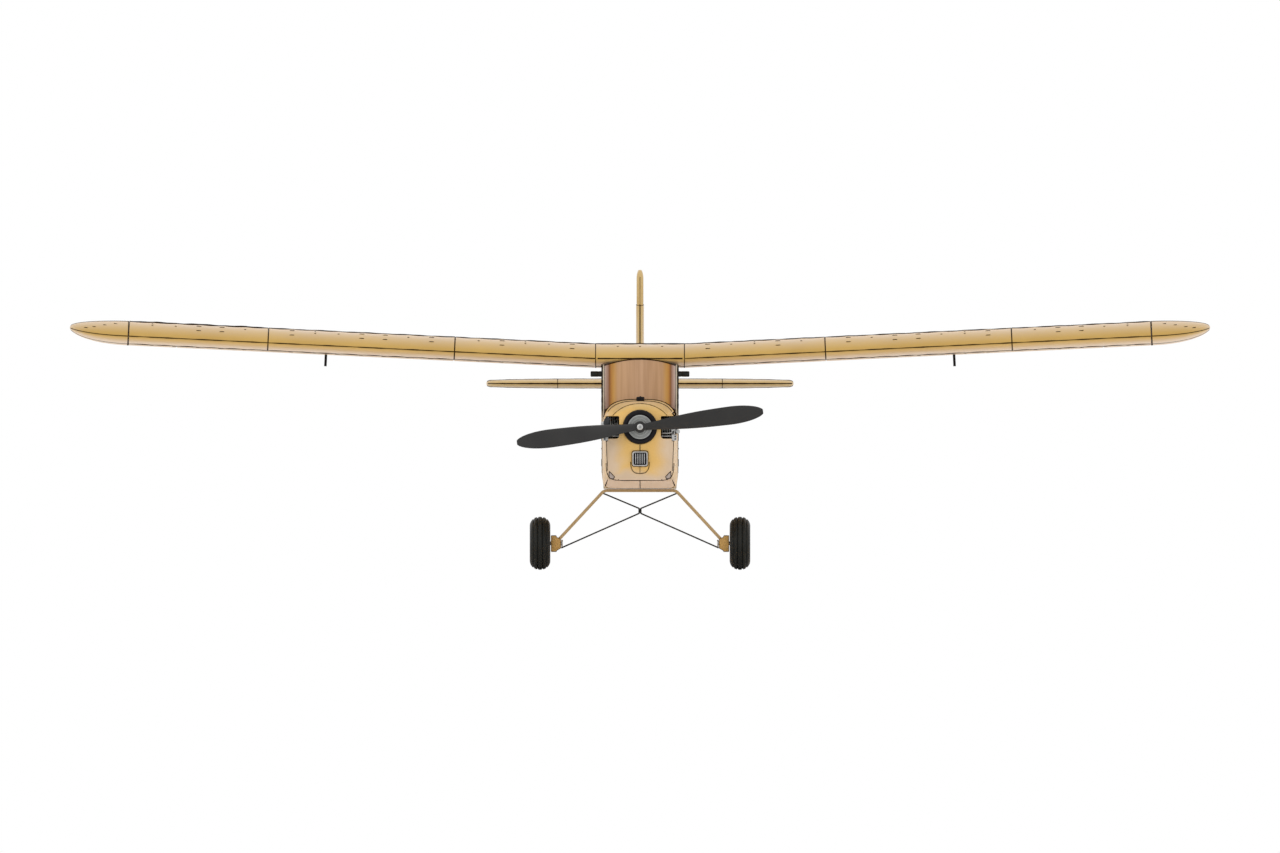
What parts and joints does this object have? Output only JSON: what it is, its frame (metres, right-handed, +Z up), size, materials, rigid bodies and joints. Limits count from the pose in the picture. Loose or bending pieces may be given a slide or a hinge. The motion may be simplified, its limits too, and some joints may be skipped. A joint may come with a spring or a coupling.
{
  "type": "rubber powered model aeroplane",
  "caption": "Free-flight model of a high-wing cabin monoplane with a rubber motor, hinged control surfaces, a propeller and turning wheels.",
  "frame": {"origin": "under the middle of the model's box, on the ground below the main wheels", "axes": "+Z up, -Y towards the nose, +X to the right of a viewer who faces the nose"},
  "size_m": [0.8944, 0.575, 0.2352],
  "materials": {
    "wing_cover": "satin",
    "tail_cover": "satin",
    "fuselage_cover": "satin",
    "cowl_shell": "satin",
    "tinted_sheet": "gloss",
    "frame_wood": "raw",
    "black_plastic": "satin",
    "cylinder_black": "satin black",
    "dowel_black": "painted",
    "plug_grey": "satin",
    "bearing_brass": "machined",
    "bright_metal": "polished",
    "wire_steel": "drawn",
    "peg_tube": "drawn",
    "gear_paint": "satin",
    "block_plastic": "satin",
    "tyre_rubber": "matt",
    "hub_plastic": "satin",
    "motor_rubber": "lubricated"
  },
  "bodies": {
    "root": {"cowl": "cowl_shell", "nose_ring": "black_plastic", "nose_plug": "plug_grey", "thrust_bearing": "bearing_brass", "fuel_cap": "black_plastic", "intake_grille": "bright_metal", "firewall": "frame_wood", "belly_panel": "fuselage_cover", "turtle_deck": "fuselage_cover", "cabin_former": "frame_wood", "tail_former": "frame_wood", "windshield": "tinted_sheet", "wing_peg_front": "dowel_black", "wing_peg_rear": "dowel_black", "rear_motor_peg": "peg_tube", "rubber_motor": "motor_rubber", "wing_spar": "frame_wood", "wing_centre": "wing_cover", "stabiliser": "tail_cover", "elevator_hinge_pin": "wire_steel", "fin": "tail_cover", "gear_strap": "gear_paint", "cross_wires": "wire_steel", "engine_cylinder_left": "cylinder_black", "pushrod_tubes_left": "bright_metal", "fuselage_side_left": "fuselage_cover", "side_window_left": "tinted_sheet", "wing_root_left": "wing_cover", "wing_mid_left": "wing_cover", "wing_outer_left": "wing_cover", "wing_tip_left": "wing_cover", "axle_block_left": "block_plastic", "axle_left": "wire_steel", "aileron_left_hinge_pin": "wire_steel", "engine_cylinder_right": "cylinder_black", "pushrod_tubes_right": "bright_metal", "fuselage_side_right": "fuselage_cover", "side_window_right": "tinted_sheet", "wing_root_right": "wing_cover", "wing_mid_right": "wing_cover", "wing_outer_right": "wing_cover", "wing_tip_right": "wing_cover", "axle_block_right": "block_plastic", "axle_right": "wire_steel", "aileron_right_hinge_pin": "wire_steel"},
    "airscrew": {"propeller": "black_plastic", "propeller_nut": "bright_metal", "propeller_shaft": "wire_steel"},
    "left_wheel": {"tyre_left": "tyre_rubber", "wheel_hub_left": "hub_plastic"},
    "right_wheel": {"tyre_right": "tyre_rubber", "wheel_hub_right": "hub_plastic"},
    "left_aileron": {"aileron_left": "wing_cover", "aileron_horn_left": "black_plastic"},
    "right_aileron": {"aileron_right": "wing_cover", "aileron_horn_right": "black_plastic"},
    "elevators": {"elevator": "tail_cover"},
    "rudder_unit": {"rudder": "tail_cover", "tail_wheel_wire": "wire_steel"},
    "tailwheel": {"tail_wheel": "tyre_rubber"}
  },
  "joints": [
    {"name": "propeller_spin", "type": "hinge", "parent": "root", "child": "airscrew", "pos_m": [0, -0.2815, 0.112], "axis": [0, 1, 0], "continuous": true, "deforming": ["rubber_motor"]},
    {"name": "left_wheel_spin", "type": "hinge", "parent": "root", "child": "left_wheel", "pos_m": [-0.0784, -0.1865, 0.0208], "axis": [1, 0, 0], "continuous": true},
    {"name": "right_wheel_spin", "type": "hinge", "parent": "root", "child": "right_wheel", "pos_m": [0.0784, -0.1865, 0.0208], "axis": [1, 0, 0], "continuous": true},
    {"name": "left_aileron_hinge", "type": "hinge", "parent": "root", "child": "left_aileron", "pos_m": [-0.25462, -0.08677, 0.17372], "axis": [-0.9988, 0, 0.048], "range_deg": [-20, 20]},
    {"name": "right_aileron_hinge", "type": "hinge", "parent": "root", "child": "right_aileron", "pos_m": [0.25462, -0.08677, 0.17372], "axis": [-0.9988, 0, -0.048], "range_deg": [-20, 20]},
    {"name": "elevator_hinge", "type": "hinge", "parent": "root", "child": "elevators", "pos_m": [0, 0.2225, 0.1461], "axis": [-1, 0, 0], "range_deg": [-25, 25]},
    {"name": "rudder_hinge", "type": "hinge", "parent": "root", "child": "rudder_unit", "pos_m": [0, 0.2415, 0.112], "axis": [0, 0, 1], "range_deg": [-25, 25]},
    {"name": "tailwheel_spin", "type": "hinge", "parent": "rudder_unit", "child": "tailwheel", "pos_m": [0, 0.2475, 0.1086], "axis": [1, 0, 0], "continuous": true}
  ]
}
